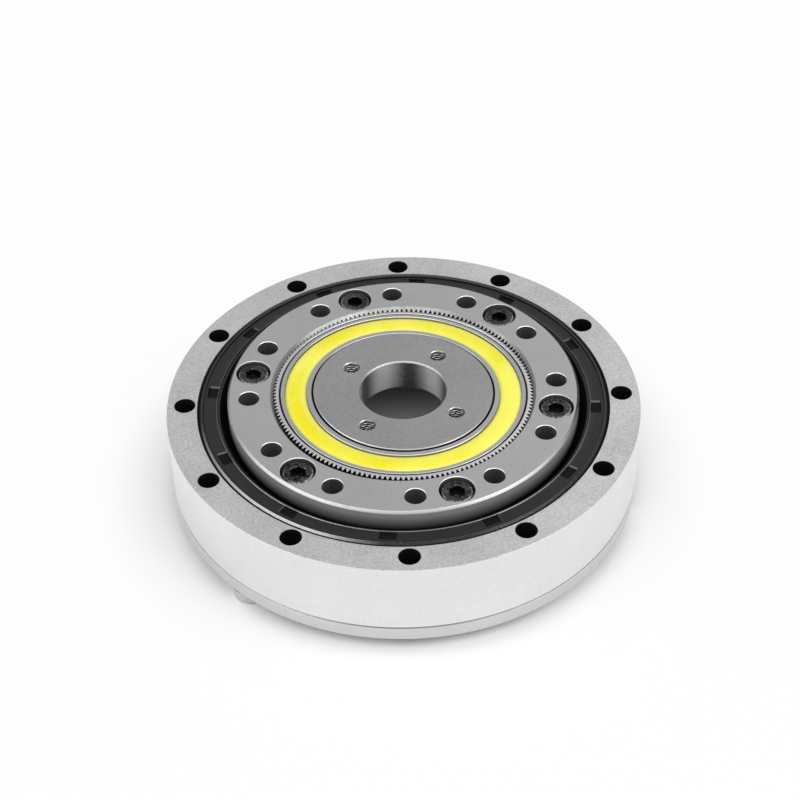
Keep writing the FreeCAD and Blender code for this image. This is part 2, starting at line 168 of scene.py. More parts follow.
def holed_ring(middles, circle, holes, outer, inner, arc=25, side=7, wave=0.0):
    """Ring cut into even sectors with an upright hole in the middle of some of them.

    Each flat face is ruled from a hole's edge to its sector's outline, along rays from the hole's centre.
    holes is (sectors, rows, 2): radius and height of each hole's wall from front to back, radius 0 for none.
    outer and inner are profiles from the front face to the back; wave is the oval's share of the outer one.
    """
    outer, inner = np.asarray(outer, float), np.asarray(inner, float)
    half = math.pi / len(middles)
    spread = np.tan(np.linspace(-1, 1, arc)) / math.tan(1) * half
    step = np.linspace(0, 1, side)[1:-1]
    turn = np.concatenate([spread, np.full(side - 2, half), spread[::-1], np.full(side - 2, -half)])
    outward = np.concatenate([np.ones(arc), 1 - step, np.zeros(arc), step])
    angles = (middles[:, None] + spread[None, :-1]).ravel()
    cosine, sine = np.cos(middles)[:, None], np.sin(middles)[:, None]

    def outline(row):
        around = middles[:, None] + turn[None]
        rim = outer[row, 0] + wave * oval(around)
        return on_axis(inner[row, 0] + (rim - inner[row, 0]) * outward, around, outer[row, 1])

    def hole_row(points, row):
        across = points[..., 1] * cosine - points[..., 0] * sine
        along = points[..., 0] * cosine + points[..., 1] * sine - circle
        ray = np.arctan2(across, along)
        radius = holes[:, row, 0][:, None]
        x, y = circle + radius * np.cos(ray), radius * np.sin(ray)
        height = np.broadcast_to(holes[:, row, 1][:, None], x.shape)
        return np.stack([x * cosine - y * sine, x * sine + y * cosine, height], -1)

    front, back = outline(0), outline(-1)
    drilled = holes[:, 0, 0] > 0
    wall = np.stack([hole_row(front, row) for row in range(holes.shape[1])], 1)
    if np.allclose(outer[0, 0], outer[-1, 0]):
        wall[:, -1] = hole_row(back, -1)
    return {
        "front": skin(np.stack([front, wall[:, 0]], 1)),
        "back": skin(np.stack([wall[:, -1], back], 1)),
        "holes": skin(wall[drilled]),
        "outer": skin(turned(outer, angles, wave)),
        "inner": skin(turned(inner, angles)),
    }


def tooth_share(count):
    """Shares of a full turn, and the tooth's rise there.

    The rise is 1 on the tip land and falls evenly to 0 on the gap's floor.
    """
    place = np.array([-0.5, -0.41, -0.37, -0.24, -0.11, -0.07, 0.07, 0.11, 0.24, 0.37, 0.41])
    rise = np.clip((0.394 - np.abs(place)) / 0.3, 0, 1)
    share = (np.arange(count)[:, None] + place[None]) / count
    return share.ravel(), np.tile(rise, count)


# Pieces

def piece(name, parts, materials, body, node, sharp=32.0, bend=None):
    """Mesh of (points, faces, material) parts, with doubles merged and faces turned outwards.

    A part's material is one index, or one for each of its rows. A fourth entry gives each of its points a
    mark, which a finish can read as an attribute. If bend is given, the piece's placement is baked into its
    mesh and it joins no body; the second body and the two heights that bend holds are not used.
    """
    points, faces, index, marks, start = [], [], [], [], 0
    for vertices, quads, material, *mark in parts:
        points.append(vertices)
        faces.append(quads + start)
        index.append(np.repeat(material, len(quads) // np.size(material)).astype(np.int32))
        marks.append(np.ravel(mark[0]) if mark else np.zeros(len(vertices)))
        start += len(vertices)
    mesh = bpy.data.meshes.new(name)
    mesh.from_pydata((np.concatenate(points) * MM).tolist(), [], np.concatenate(faces).tolist())
    mesh.polygons.foreach_set("material_index", np.concatenate(index))
    marked = mesh.attributes.new("mark", "FLOAT", "POINT")
    marked.data.foreach_set("value", np.concatenate(marks).astype(np.float32))
    made = bmesh.new()
    made.from_mesh(mesh)
    bmesh.ops.remove_doubles(made, verts=made.verts, dist=4e-7)
    bmesh.ops.dissolve_degenerate(made, edges=made.edges, dist=1e-8)
    bmesh.ops.recalc_face_normals(made, faces=made.faces)
    made.to_mesh(mesh)
    made.free()
    mesh.shade_smooth()
    mesh.set_sharp_from_angle(angle=math.radians(sharp))
    for material in materials:
        mesh.materials.append(material)
    obj = bpy.data.objects.new(name, mesh)
    bpy.context.scene.collection.objects.link(obj)
    if bend:
        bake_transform(obj)
    else:
        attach(obj, body)
    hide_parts(node)


def outer_ring(finish):
    """Outer ring: ruled faces with twelve bolt holes, turned outside, seal seat and roller groove."""
    face, wall, bore, painted_shade = range(4)
    edge, chamfer, seat = 0.05, 0.2, 34.7
    holes = np.zeros((24, 4, 2))
    holes[:, :, 1] = [0, -0.06, RING_BACK + 0.1, RING_BACK]
    holes[0::2, :, 0] = [PLAIN_HOLE + 0.06, PLAIN_HOLE, PLAIN_HOLE, PLAIN_HOLE]
    outer = softened([(RING_RADIUS - edge, 0), (RING_RADIUS, -edge), (RING_RADIUS, RING_BACK + edge),
                      (RING_RADIUS - edge, RING_BACK)], 0.02)
    inner = [(seat + chamfer, 0), (seat, -chamfer), (seat, SEAL_BACK), (RING_LAND, SEAL_BACK),
             (RING_LAND, ROLLER_HEIGHT + ROLLER_REACH), (RING_LAND + ROLLER_REACH, ROLLER_HEIGHT),
             (RING_LAND, ROLLER_HEIGHT - ROLLER_REACH), (RING_LAND, RING_BACK)]
    made = holed_ring(even(24), HOUSING_CIRCLE, holes, outer, inner)
    parts = [made["front"] + (face,), made["back"] + (face,),
             made["outer"] + ([face] * 2 + [wall] * 5,),
             # The seal seat's chamfer, wall and step take the near-black finish: painted shade beside the
             # seal.
             made["inner"] + ([painted_shade] * 3 + [wall] * 4,), made["holes"] + (bore,)]
    piece("bearing_outer_ring", parts, finish, "housing", "outer_ring")


def filling_plug(finish):
    """Ground end of the roller filling plug: a disc of polar rows laid on the ring's outside."""
    ground, seam = range(2)
    angle = math.radians(75)
    around = even(64)
    proud, deep = RING_RADIUS + 0.004, RING_RADIUS - 0.3
    rows = np.array([(0.0, proud), (1.2, proud), (2.2, proud), (2.29, RING_RADIUS + 0.002),
                     (2.29, deep), (1.2, deep), (0.0, deep)])
    across = rows[:, :1] * np.cos(around)
    height = rows[:, :1] * np.sin(around) + ROLLER_HEIGHT
    out = np.sqrt(rows[:, 1:] ** 2 - across ** 2)
    grid = np.stack([out * math.cos(angle) - across * math.sin(angle),
                     out * math.sin(angle) + across * math.cos(angle), height], -1)
    disc = skin(grid) + ([ground, ground, seam, seam, ground, ground],)
    piece("filling_plug_end", [disc], finish, "housing", "filling_plug")


def oil_seal(finish):
    """Seal turned from its profile, with a bead and a ledge inside, and twelve pockets sunk into its band.

    Each profile row is (radius, height, finish of the strip that follows). A pocket's depth is the product
    of two masks, one across the band and one along it.
    """
    black, bead, deep, rim = range(4)
    count, phase = 12, 24.2
    spot = np.concatenate([np.linspace(-15, -2.8, 8), [-2.68, -2.42], np.linspace(-2.2, 2.2, 6),
                           [2.42, 2.68], np.linspace(2.8, 15, 8)[:-1]])
    angles = np.radians(phase + 360 / count * np.arange(count)[:, None] + spot[None]).ravel()
    profile = np.array([
        (34.69, SEAL_BACK, black), (34.69, -0.28, deep), (34.50, -0.16, deep), (34.47, -0.13, rim),
        (34.23, 0.19, rim), (34.20, 0.22, rim), (34.15, 0.25, black), (33.92, 0.25, black),
        (33.86, 0.20, deep), (33.85, 0.05, deep), (33.80, 0.0, black), (33.37, 0.0, black),
        (33.31, -0.01, black), (33.25, -0.02, black), (32.47, -0.02, black), (31.76, -0.02, black),
        (31.71, -0.01, black), (31.66, 0.0, bead), (31.58, 0.09, bead), (31.53, 0.09, deep),
        (31.50, 0.04, deep), (31.48, -0.10, deep), (31.44, -0.14, black), (31.08, -0.20, black),
        (31.0, -0.28, deep), (30.9, -0.6, deep), (29.7, -2.5, deep), (29.7, -2.8, deep),
        (30.55, -2.8, deep), (30.55, -2.2, deep), (32, -1.4, deep), (32, -0.5, deep),
        (34.2, -0.5, deep), (34.2, SEAL_BACK, deep),
    ])
    radius, height, strip = profile[:, :1], profile[:, 1:2], profile[:, 2:].astype(int)
    grid = turned(profile[:, :2], angles)
    across = np.clip((0.81 - np.abs(radius - 32.50)) / 0.06 + 0.5, 0, 1)
    along = np.clip((2.55 - np.abs(np.tile(spot, count)[None])) / 0.26 + 0.5, 0, 1)
    top = (height > -0.03) & (radius < 33.75)
    mask = across * along * top
    grid[..., 2] -= 0.3 * mask
    sunk = mask > 0.5
    pocket = sunk & np.roll(sunk, -1, 0)
    beside = np.roll(pocket, -1, 1)
    tones = np.where(pocket & beside, deep, np.where(pocket | beside, bead, strip))
    ring = skin(grid, True) + (tones.ravel(),)
    piece("oil_seal_rubber", [ring], finish, "housing", "oil_seal")


def circular_spline(finish):
    """Internal gear: holed face, chamfered outside, and teeth whose inner radius follows the rise."""
    face, wall, bore, chamfer, painted_shade, tooth, edge = range(7)
    holes = np.zeros((24, 5, 2))
    holes[:, :, 1] = [SPLINE_FRONT, SPLINE_FRONT - 0.1, SPLINE_SEAT, SPLINE_SEAT - SEAT_STEP, SPLINE_BACK]
    holes[0::2, :, 0] = [PLAIN_HOLE + 0.1, PLAIN_HOLE, PLAIN_HOLE, PLAIN_HOLE, PLAIN_HOLE]
    holes[3::4, :, 0] = [HEAD_HOLE + 0.15, HEAD_HOLE, HEAD_HOLE, SCREW_HOLE, SCREW_HOLE]
    outer = softened([(29.25, SPLINE_FRONT), (29.65, SPLINE_FRONT - 0.4), (29.65, SPLINE_BACK)], 0.06)
    inner = [(BAND_RADIUS, SPLINE_FRONT), (BAND_RADIUS, SPLINE_BACK)]
    made = holed_ring(even(24, SPLINE_TURN), SPLINE_CIRCLE, holes, outer, inner, arc=21, side=15)
    share, rise = tooth_share(SPLINE_TEETH)
    angles = WAVE_PHASE + TURN * (share + 0.5 / SPLINE_TEETH)
    reach = 22.17 - 0.54 * rise
    end = 22.08 - 0.45 * rise
    rows = [(BAND_RADIUS, SPLINE_FRONT), (22.42, SPLINE_FRONT), (end, end - 20.12), (reach, end - 20.6),
            (reach, SPLINE_BACK), (BAND_RADIUS, SPLINE_BACK)]
    band = np.stack([on_axis(radius, angles, height) for radius, height in rows])
    drilled = np.count_nonzero(holes[:, 0, 0])
    parts = [made["front"] + (face,), made["back"] + (face,),
             made["outer"] + ([edge] * 2 + [wall] * 2,), made["inner"] + (wall,),
             made["holes"] + (np.tile([chamfer, bore, bore, bore], drilled),),
             # The tooth flanks below the bevelled ends take the near-black finish: painted shade deep in the
             # tooth gaps.
             skin(band, True) + ([face, tooth, tooth, painted_shade, face, face],)]
    piece("circular_spline_gear", parts, finish, "output", "circular_spline")


def flexspline(finish):
    """Hat in one loop of (radius, height, share of the wave) rows, and its flange apart.

    The loop is the toothed oval rim, the cup wall that loses the oval downwards, and the diaphragm.
    """
    flange, cup, bore, painted_shade, rim, edge = range(6)
    share, rise = tooth_share(FLEX_TEETH)
    angles = along_oval(share, 21.6)
    reach = 21.31 + 0.53 * rise
    fade = np.linspace(1, 0, 5)
    down = np.linspace(RIM_BACK, CUP_BACK, 5)
    bow = np.radians([22.5, 45, 67.5, 90])
    rows = [(20.85, RIM_FRONT - 0.1, 1), (20.93, RIM_FRONT, 1), (21.24, RIM_FRONT, 1),
            (reach, RIM_FRONT - 0.4 * (reach - 21.26), 1), (reach, RIM_BACK + 0.1, 1),
            (reach - 0.08, RIM_BACK, 1)]
    rows += [(21.10, z, w) for z, w in zip(down - 0.02, fade)]
    rows += [(22.3 - 1.2 * math.cos(a), CUP_BACK - 1.2 * math.sin(a), 0) for a in bow]
    rows += [(30.5, -14.6, 0), (30.85, -14.45, 0), (FLANGE_INNER, -14.1, 0), (FLANGE_INNER, RING_BACK, 0),
             (FLANGE_INNER, FLANGE_BACK, 0), (31.05, -15.7, 0), (30.7, -15.25, 0), (30.5, -15.2, 0)]
    rows += [(22.3 - 1.55 * math.cos(a), -13.65 - 1.55 * math.sin(a), 0) for a in bow[::-1]]
    rows += [(20.75 + 0.1 * w, z, w) for z, w in zip(down[::-1], fade[::-1])]
    hat = np.stack([on_axis(radius + w * oval(angles), angles, z) for radius, z, w in rows])
    holes = np.zeros((24, 4, 2))
    holes[:, :, 1] = [RING_BACK, FLANGE_SEAT, FLANGE_SEAT - SEAT_STEP, FLANGE_BACK]
    holes[0::2, :, 0] = [PLAIN_HOLE, PLAIN_HOLE, PLAIN_HOLE, PLAIN_HOLE + 0.07]
    holes[7::8, :, 0] = [SCREW_HOLE, SCREW_HOLE, HEAD_HOLE, HEAD_HOLE + 0.04]
    outer = softened([(RING_RADIUS - 0.4, RING_BACK), (RING_RADIUS, RING_BACK - 0.4),
                      (RING_RADIUS, FLANGE_BACK + 0.17), (RING_RADIUS - 0.17, FLANGE_BACK)], 0.06)
    inner = [(FLANGE_INNER, RING_BACK), (FLANGE_INNER, FLANGE_BACK)]
    made = holed_ring(even(24), HOUSING_CIRCLE, holes, outer, inner, side=11)
    # The flexspline's teeth below their ends take the near-black finish: painted shade inside the circular
    # spline.
    parts = [skin(hat, True) + ([rim] * 3 + [painted_shade] + [cup] * (len(rows) - 4),),
             made["front"] + (flange,), made["back"] + (flange,),
             made["outer"] + ([edge] + [flange] * 6,), made["inner"] + (flange,), made["holes"] + (bore,)]
    piece("flexspline_hat", parts, finish, "housing", "flexspline",
          bend=("wave_generator", CUP_BACK, RIM_BACK))


def wave_plug(finish):
    """Oval plug: ruled faces, chamfered bore and tapped holes whose walls rise and fall along a helix."""
    face, wall, thread, painted_shade, chamfer = range(5)
    steps, pitch = 88, 0.5
    middles = WAVE_PHASE + even(8)
    height = np.linspace(PLUG_FRONT, PLUG_BACK, steps)
    depth = np.clip(np.minimum(height - PLUG_BACK, PLUG_FRONT - height) / 0.4, 0, 1)
    holes = np.zeros((8, steps, 2))
    holes[:, :, 1] = height
    holes[0::2, :, 0] = 1.25 + 0.2 * np.clip(1 - (PLUG_FRONT - height) / 0.2, 0, 1)
    outer = softened([(14.94, PLUG_FRONT), (15.06, 2.06), (15.06, -3.5), (14.96, PLUG_BACK)], 0.03)
    inner = softened([(7.5, PLUG_FRONT), (7.25, 1.95), (7.25, -3.4), (7.5, PLUG_BACK)], 0.04)
    made = holed_ring(middles, TAP_CIRCLE, holes, outer, inner, side=13, wave=1.0)
    points, quads = made["holes"]
    walls = points.reshape(4, steps, -1, 3)
    centre = on_axis(TAP_CIRCLE, middles[0::2], 0.0)[:, None, None]
    out = walls - centre
    ray = np.arctan2(out[..., 1], out[..., 0])
    wind = np.abs(((walls[..., 2] / pitch - ray / TURN) % 1.0) * 2 - 1)
    grown = 1 + 0.22 * wind * depth[None, :, None]
    walls = centre + out * np.stack([grown, grown, np.ones_like(grown)], -1)
    tapped = np.tile([chamfer] * 3 + [thread] * (steps - 4), 4)
    parts = [made["front"] + (face,), made["back"] + (face,),
             # The plug's outer wall, hidden under the inner race, takes the near-black finish: painted
             # shade.
             made["outer"] + ([chamfer] * 2 + [painted_shade] * 5,), made["inner"] + ([face] * 3 + [wall] * 4,),
             (walls.reshape(-1, 3), quads, tapped, 1 - wind)]
    piece("wave_generator_plug", parts, finish, "wave_generator", "wave_plug")


def race(name, node, plain, grooved, finish):
    """Bearing race on the oval: a closed profile, relieved on its plain side, with a round ball groove."""
    bright, painted_shade = range(2)
    side = math.copysign(1, plain - grooved)
    relieved = plain - side * 0.24
    rise = np.radians(np.linspace(-45, 45, 7))
    profile = [(plain, RACE_BACK + 0.08), (plain, 1.3), (relieved, 1.26), (relieved, RIM_FRONT - 0.06),
               (relieved - side * 0.06, RIM_FRONT), (grooved + side * 0.08, RIM_FRONT),
               (grooved, RIM_FRONT - 0.08)]
    profile += [(grooved + side * (0.21 * np.cos(a) - 0.06), BALL_HEIGHT - 1.4 * np.sin(a)) for a in rise]
    profile += [(grooved, RACE_BACK + 0.1), (grooved + side * 0.1, RACE_BACK),
                (plain - side * 0.08, RACE_BACK)]
    ring = skin(turned(profile, even(480), 1.0), True)
    # The plain side and its relief slot take the near-black finish: painted shade in the slot beside the
    # race.
    tones = [painted_shade] * 3 + [bright] * (len(profile) - 3)
    piece(name, [ring + (tones,)], finish, "wave_generator", node)


def bearing_balls(finish):
    """Balls on the oval between the races: rows of latitude about each centre, closed at the poles."""
    angle = along_oval(np.arange(BALL_COUNT) / BALL_COUNT, BALL_CIRCLE)
    centre = on_axis(BALL_CIRCLE + oval(angle), angle, BALL_HEIGHT)
    tilt = np.linspace(0, math.pi, 17)[:, None]
    ball = on_axis(BALL_RADIUS * np.sin(tilt), even(32)[None], BALL_RADIUS * np.cos(tilt))
    balls = skin(centre[:, None, None] + ball[None]) + (0,)
    piece("bearing_balls_round", [balls], finish, "wave_generator", "bearing_balls")


def ball_cage(finish):
    """Crown cage on the oval: a crowned front, and a back that arches over each ball.

    The arch is a circle about the ball: ball height + sqrt(pocket^2 - offset^2). Each point is marked with
    its row's radius.
    """
    pocket = BALL_RADIUS + 0.12
    fine = np.concatenate([np.linspace(-0.5, -0.44, 3), np.linspace(-0.425, 0.425, 19),
                           np.linspace(0.44, 0.5, 3)[:-1]])
    share = ((np.arange(BALL_COUNT)[:, None] + fine[None]) / BALL_COUNT).ravel()
    angles = along_oval(share, BALL_CIRCLE)
    offset = np.tile(fine, BALL_COUNT) * TURN * BALL_CIRCLE / BALL_COUNT
    arch = BALL_HEIGHT + np.sqrt(np.clip(pocket ** 2 - offset ** 2, 0, None))
    back = np.minimum(np.where(np.abs(offset) < pocket, arch, -1.6), 1.05)
    rows = [(16.33, back + 0.06), (16.33, 1.3), (16.23, 1.4), (16.23, 1.52), (16.3, 1.6), (16.5, 1.68),
            (16.85, 1.76), (17.4, 1.84), (18.05, 1.87), (18.7, 1.84), (19.25, 1.76), (19.6, 1.68),
            (19.81, 1.6), (19.88, 1.52), (19.88, 1.4), (19.78, 1.3), (19.78, back + 0.06), (19.7, back),
            (16.41, back)]
    grid = np.stack([on_axis(radius + oval(angles), angles, height) for radius, height in rows])
    across = np.repeat([radius for radius, height in rows], len(angles))
    ring = skin(grid, True) + (0, across)
    piece("ball_cage_crown", [ring], finish, "wave_generator", "ball_cage")


def socket_screws(name, node, body, finish, circle, phase, count, seat, facing, length):
    """Cap screws: rows about each axis, the socket's radius that of a hexagon and the side's radius a knurl.

    facing is 1 for heads at the front and -1 for heads at the back. length is that of the shank.
    """
    plain, hollow, worn = range(3)
    around = even(192)
    hexagon = 1.25 / np.cos((around + math.pi / 6) % (math.pi / 3) - math.pi / 6)
    knurl = 2.75 - 0.07 * (0.5 + 0.5 * np.cos(48 * around))
    rows = [(0, 1.45), (0.4 * hexagon, 1.55), (hexagon, 1.62), (hexagon, 2.86), (1.52, 3.0), (2.28, 3.0),
            (knurl - 0.27, 2.96), (knurl - 0.13, 2.87), (knurl - 0.03, 2.74), (knurl, 2.6), (knurl, 0.25),
            (knurl - 0.08, 0.12), (2.55, 0.0), (1.5, 0.0), (1.5, -length + 0.3), (1.2, -length),
            (0, -length)]
    screw = np.stack([on_axis(radius, around, height) for radius, height in rows])
    screw = screw * np.array([1.0, facing, facing])
    places = on_axis(circle, even(count, phase), seat)
    grid = screw[None] + places[:, None, None]
    # The socket's rows take the second finish; for the zinc screws it is darker, painted shade in the
    # socket.
    tones = [hollow] * 3 + [plain] * 2 + [worn] * 4 + [plain] * (len(rows) - 10)
    screws = skin(grid) + (np.tile(tones, count),)
    piece(name, [screws], finish, body, node, sharp=28)


# Finishes

def feed(node, inputs):
    """Link each named input of a node to a socket, or set it to a plain value."""
    for name, source in inputs.items():
        if hasattr(source, "node"):
            node.id_data.links.new(source, node.inputs[name])
        else:
            node.inputs[name].default_value = source


def adder(tree):
    """Function that adds a node to a tree, sets its values and feeds its inputs."""
    def add(kind, inputs=None, **values):
        node = tree.nodes.new(kind)
        for key, value in values.items():
            setattr(node, key, value)
        feed(node, inputs or {})
        return node

    return add


def new_finish(name):
    """New material, its principled shader, a function that adds nodes, and the place on its object."""
    material = bpy.data.materials.new(name)
    material.use_nodes = True
    add = adder(material.node_tree)
    place = add("ShaderNodeTexCoord").outputs["Object"]
    return material, material.node_tree.nodes["Principled BSDF"], add, place


def colour(tone):
    """Opaque colour of a grey level, or of red, green and blue."""
    return (*np.broadcast_to(tone, 3).tolist(), 1.0)


def noise(add, place, scale, detail=4.0, rough=0.6):
    """Noise over a place, its scale in features per metre."""
    inputs = {"Vector": place, "Scale": scale, "Detail": detail, "Roughness": rough}
    return add("ShaderNodeTexNoise", inputs).outputs[0]


def math_of(add, operation, *values):
    """Result of one operation on values."""
    return add("ShaderNodeMath", dict(enumerate(values)), operation=operation).outputs[0]


def mixed(add, share, first, second):
    """Two values mixed, by the share of the second."""
    return add("ShaderNodeMix", {0: share, 2: first, 3: second}).outputs[0]


def mixed_colour(add, share, first, second):
    """Two colours mixed, by the share of the second."""
    return add("ShaderNodeMix", {0: share, 6: first, 7: second}, data_type="RGBA").outputs[2]


def ranged(add, value, low, high, start=0.0, end=1.0, **values):
    """Value carried from one range to another, and held at its ends."""
    return add("ShaderNodeMapRange", {0: value, 1: low, 2: high, 3: start, 4: end}, **values).outputs[0]


def toned(add, value, low, dark, high, light):
    """Colour that goes from dark to light as a value goes from low to high."""
    ramp = add("ShaderNodeValToRGB", {0: value})
    stops = ramp.color_ramp.elements
    stops[0].position = low
    stops[0].color = colour(dark)
    stops[1].position = high
    stops[1].color = colour(light)
    return ramp.outputs[0]


def relief(add, height, strength, depth=0.05):
    """Bump from a height, its depth in millimetres."""
    return add("ShaderNodeBump", {"Height": height, "Strength": strength, "Distance": depth * MM}).outputs[0]


def metal(name, dark, light, rough, grain=2500, lay="none", lay_scale=900, lay_share=0.3, bump=0.05,
          metallic=1.0, spread=0.2, painted_shade=None):
    """Machined metal: colour and roughness from a fine grain, from tool marks and from broad clouds.

    lay is "face" for marks on circles about the axis, "wall" for marks round a wall, or "none". grain and
    lay_scale are in features per metre. spread is how far the tone goes from the middle to either colour.
    The last argument is a pair of heights in millimetres, between which the colour goes down to near black:
    painted shade of a deep gap.
    """
    material, shader, add, place = new_finish(name)
    split = add("ShaderNodeSeparateXYZ", {0: place})
    marks_at = place
    if lay == "face":
        flat = add("ShaderNodeCombineXYZ", {0: split.outputs[0], 1: split.outputs[1]})
        radius = add("ShaderNodeVectorMath", {0: flat.outputs[0]}, operation="LENGTH").outputs["Value"]
        marks_at = add("ShaderNodeCombineXYZ", {0: radius}).outputs[0]
    elif lay == "wall":
        marks_at = add("ShaderNodeCombineXYZ", {2: split.outputs[2]}).outputs[0]
    fine = noise(add, place, grain, rough=0.65)
    marks = noise(add, marks_at, lay_scale, 3.0, 0.7)
    cloud = noise(add, place, 90.0, 3.0, 0.5)
    tone = mixed(add, 0.25, mixed(add, lay_share, fine, marks), cloud)
    tint = toned(add, tone, 0.5 - spread, dark, 0.5 + spread, light)
    # Painted shade: below the given heights the colour goes to near black, standing in for the shadow deep
    # in a gap.
    if painted_shade:
        unshaded = ranged(add, split.outputs[2], painted_shade[0] * MM, painted_shade[1] * MM)
        tint = mixed_colour(add, unshaded, colour(0.004), tint)
    feed(shader, {
        "Base Color": tint,
        "Roughness": ranged(add, tone, 0.25, 0.75, rough + 0.07, rough - 0.07),
        "Normal": relief(add, tone, bump),
        "Metallic": metallic,
    })
    return material


def moulded(name, dark, light, rough, grain=4200, cloud_scale=160, share=0.35, bump=0.1, specular=0.5):
    """Rubber or plastic: colour, roughness and relief from a fine grain and from a share of broad clouds."""
    material, shader, add, place = new_finish(name)
    tone = mixed(add, share, noise(add, place, grain), noise(add, place, cloud_scale, 5.0))
    feed(shader, {
        "Base Color": toned(add, tone, 0.32, dark, 0.68, light),
        "Roughness": ranged(add, tone, 0.25, 0.75, rough + 0.1, rough - 0.1),
        "Normal": relief(add, tone, bump, 0.1),
        "Specular IOR Level": specular,
    })
    return material


def cut_thread():
    """Tapped hole: bright crests and near-black roots from the height marked on the thread: painted
    highlight on the crests and painted shade in the roots.
    """
    material, shader, add, place = new_finish("plug_thread_cut")
    height = add("ShaderNodeAttribute", attribute_name="mark").outputs["Fac"]
    tone = mixed(add, 0.2, height, noise(add, place, 2500.0, 3.0, 0.5))
    feed(shader, {
        "Base Color": toned(add, tone, 0.60, 0.004, 0.90, 0.50),
        "Roughness": 0.36,
        "Metallic": 0.8,
    })
    return material


def bore_with_painted_bands():
    """Bore with lengthwise light and dark bands, a painted reflection, and fine honing lines round it.

    The bands are the cosine of their count times (angle - first), with the angle about the axis.
    """
    band_count, first = 5.0, math.radians(116)
    material, shader, add, place = new_finish("plug_bore_painted_bands")
    split = add("ShaderNodeSeparateXYZ", {0: place})
    angle = math_of(add, "ARCTAN2", split.outputs[1], split.outputs[0])
    painted_band = math_of(add, "COSINE", math_of(add, "MULTIPLY_ADD", angle, band_count, -band_count * first))
    level = add("ShaderNodeCombineXYZ", {2: split.outputs[2]}).outputs[0]
    marks = mixed(add, 0.5, noise(add, level, 3200.0, 3.0, 0.7), noise(add, place, 1400.0))
    tone = mixed(add, 0.35, ranged(add, painted_band, -1.0, 1.0), marks)
    feed(shader, {
        "Base Color": toned(add, tone, 0.2, 0.10, 0.8, 0.80),
        "Roughness": 0.34,
        "Normal": relief(add, marks, 0.4),
        "Metallic": 0.5,
    })
    return material


def rim_with_painted_highlight(name, middle, start, end, dark, light, rough, metallic):
    """Dark rim with a painted highlight over one stretch, bright on the side where the lamps would catch it.

    middle is the angle of the stretch's middle in degrees. The rim is dark where a point lies start
    millimetres towards it from the axis, and bright where it lies end.
    """
    material, shader, add, place = new_finish(name)
    heading = (math.cos(math.radians(middle)), math.sin(math.radians(middle)), 0)
    toward = add("ShaderNodeVectorMath", {0: place, 1: heading}, operation="DOT_PRODUCT").outputs["Value"]
    fine = noise(add, place, 2500.0)
    tone = mixed(add, 0.25, ranged(add, toward, start * MM, end * MM), fine)
    feed(shader, {
        "Base Color": toned(add, tone, 0.10, dark, 0.90, light),
        "Roughness": ranged(add, fine, 0.25, 0.75, rough + 0.07, rough - 0.07),
        "Normal": relief(add, fine, 0.1),
        "Metallic": metallic,
    })
    return material


def greased_yellow():
    """Yellow cage under a film of grease: deep in the middle, paler in long clouds and at both edges.

    The edges come from the radius marked on the cage, shifted a little by the clouds.
    """
    deep, greased, pale = (0.88, 0.78, 0.004), (0.95, 0.92, 0.11), (0.88, 0.86, 0.22)
    material, shader, add, place = new_finish("cage_yellow_greased")
    radius = add("ShaderNodeAttribute", attribute_name="mark").outputs["Fac"]
    tone = mixed(add, 0.78, noise(add, place, 1500.0), noise(add, place, 85.0, rough=0.55))
    shifted = math_of(add, "ADD", radius, tone)
    inner = ranged(add, shifted, 16.75, 17.9, 0.85, 0.0)
    outer = ranged(add, shifted, 19.3, 20.4, 0.0, 0.85)
    edge = math_of(add, "MAXIMUM", inner, outer)
    feed(shader, {
        "Base Color": mixed_colour(add, edge, toned(add, tone, 0.40, deep, 0.60, greased), colour(pale)),
        "Roughness": ranged(add, tone, 0.25, 0.75, 0.5, 0.3),
        "Normal": relief(add, tone, 0.12, 0.1),
    })
    return material


ring_face = metal("ring_face_ground", 0.32, 0.56, 0.42, grain=2300, lay_scale=700, lay_share=0.25,
                  spread=0.15)
# Same steel as the face but much lighter, so the outside reads brightly lit: painted light over a real
# turned lay.
ring_wall = metal("ring_wall_turned_painted_light", 0.72, 0.82, 0.36, grain=1800, lay="wall", lay_share=0.2)
flange_wall = metal("flange_turned", 0.54, 0.68, 0.38, lay="wall", lay_scale=2000, lay_share=0.4)
cup_wall = metal("cup_turned", 0.38, 0.52, 0.34, lay="wall", lay_scale=2600, lay_share=0.6)
rim_bright = metal("rim_ground", 0.36, 0.50, 0.40, lay="face", lay_scale=2600)
hole_wall = metal("hole_drilled", 0.02, 0.05, 0.5, lay="wall", lay_scale=2000, lay_share=0.5)
gear_face = metal("gear_face_fine", 0.28, 0.39, 0.40, grain=3000, lay="face", lay_scale=1500, lay_share=0.2)
# The circular spline's walls darken downwards towards the seal: painted shade of the gap between them.
gear_wall = metal("gear_wall_turned", 0.30, 0.42, 0.42, grain=3000, lay="wall", lay_scale=2600,
                  lay_share=0.5, metallic=0.5, painted_shade=(-1.5, 1.0))
gear_hole = metal("gear_hole_reamed", 0.02, 0.13, 0.46, lay="wall", lay_scale=2000, lay_share=0.5,
                  metallic=0.3)
# Darker than the gear's face so the tooth ends and gap walls read dark: painted shade.
tooth_edge = metal("tooth_end_bevelled", 0.13, 0.22, 0.30)
# Painted highlight: the spline's outer chamfer is bright only on its front side.
gear_edge = rim_with_painted_highlight("gear_edge_painted_highlight", middle=260, start=0.0, end=10.0, dark=0.02, light=0.32,
                          rough=0.36, metallic=1.0)
flange_edge = metal("flange_edge_bevelled", 0.16, 0.24, 0.42)
hole_edge = metal("hole_edge_chamfered", 0.34, 0.48, 0.36)
